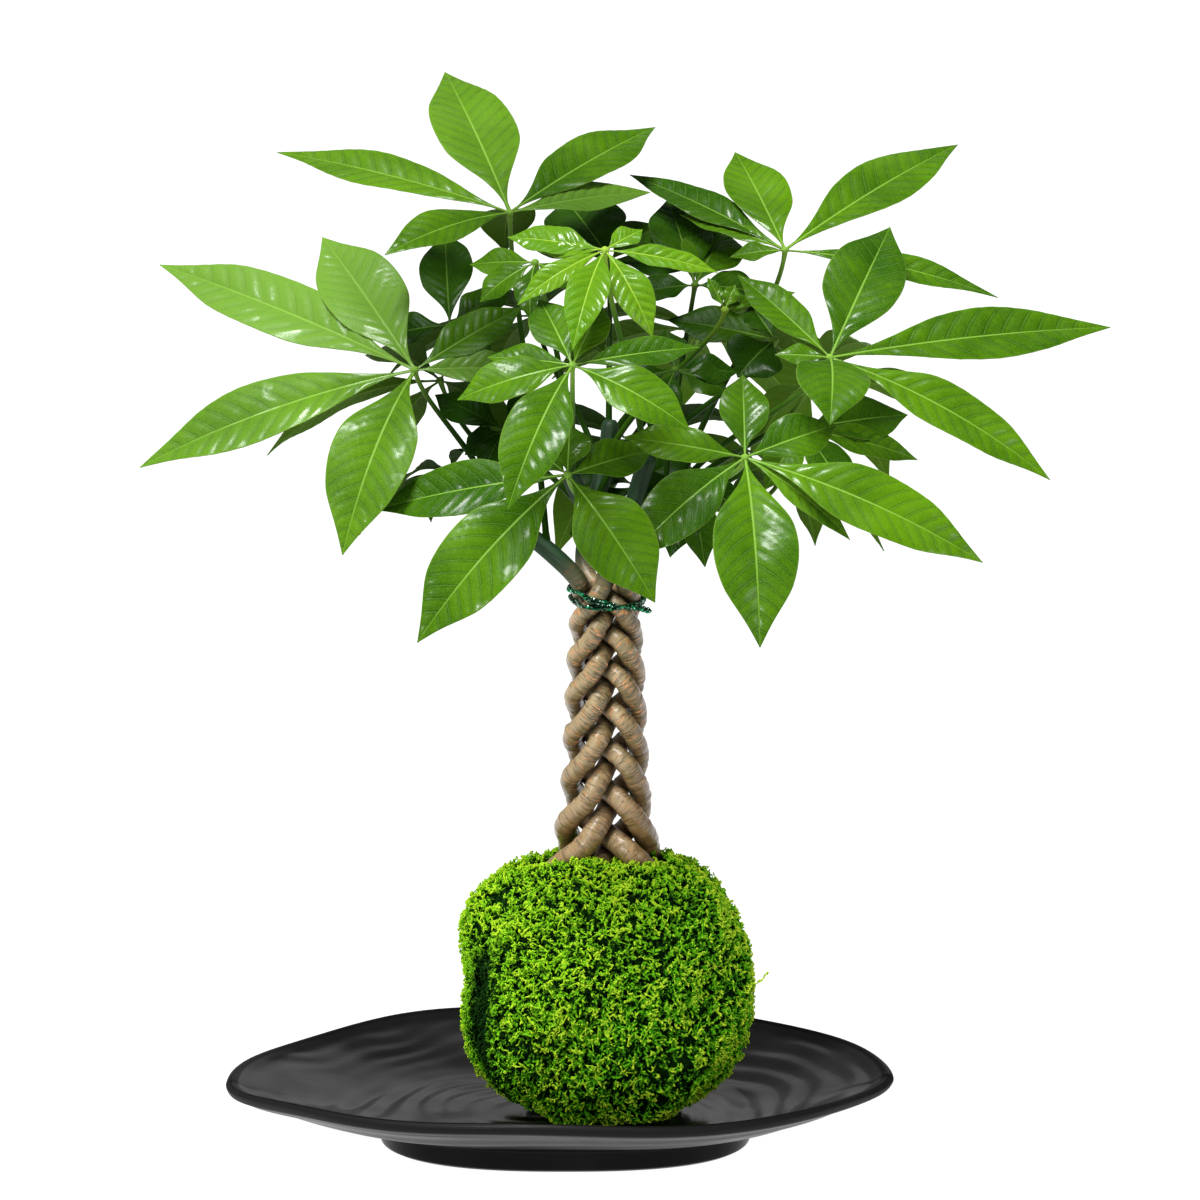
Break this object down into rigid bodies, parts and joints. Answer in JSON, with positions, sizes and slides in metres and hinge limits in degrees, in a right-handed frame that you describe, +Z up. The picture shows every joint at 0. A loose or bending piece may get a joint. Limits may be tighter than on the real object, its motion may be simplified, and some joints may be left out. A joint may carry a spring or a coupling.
{
  "type": "potted money tree",
  "caption": "Braided money tree with hand-shaped leaves, rooted in a ball of live moss on a black footed dish; stands on a table as a house plant.",
  "frame": {"origin": "the middle of the foot's flat underside, where the dish stands on the table", "axes": "+Z up along the braid; the front, with the lowest leaves, faces -Y; the dish's blunt points lie along X"},
  "size_m": [0.3872, 0.3095, 0.4162],
  "materials": {
    "glaze": "gloss",
    "moss": "matte",
    "soil": "matte",
    "bark": "satin",
    "foil": "gloss",
    "leaf": "satin",
    "young_leaf": "satin"
  },
  "bodies": {
    "root": {"dish": "glaze", "moss_cover": "moss", "root_ball": "soil", "stem_1": "bark", "stem_2": "bark", "stem_3": "bark", "stem_4": "bark", "stem_5": "bark", "tie_wire": "foil", "leaf_top_left": "leaf", "leaf_left": "leaf", "leaf_young_front": "young_leaf", "leaf_front": "leaf", "leaf_low_front": "leaf", "leaf_low_right": "leaf", "leaf_right": "leaf", "leaf_top_right": "leaf", "leaf_behind_top": "leaf", "leaf_behind_right_top": "leaf", "leaf_behind_left": "leaf", "leaf_behind_young": "leaf", "leaf_shoot": "young_leaf", "leaf_inner_right": "leaf", "leaf_far_right": "leaf", "leaf_low_middle": "leaf", "leaf_low_left": "leaf", "leaf_middle": "leaf", "leaf_inner_low": "leaf", "leaf_back_left": "leaf", "leaf_back_right": "leaf", "leaf_back_low": "leaf", "leaf_back_high": "leaf", "leaf_back_low_left": "leaf", "leaf_back_low_right": "leaf", "leaf_back_top": "leaf"}
  },
  "joints": []
}
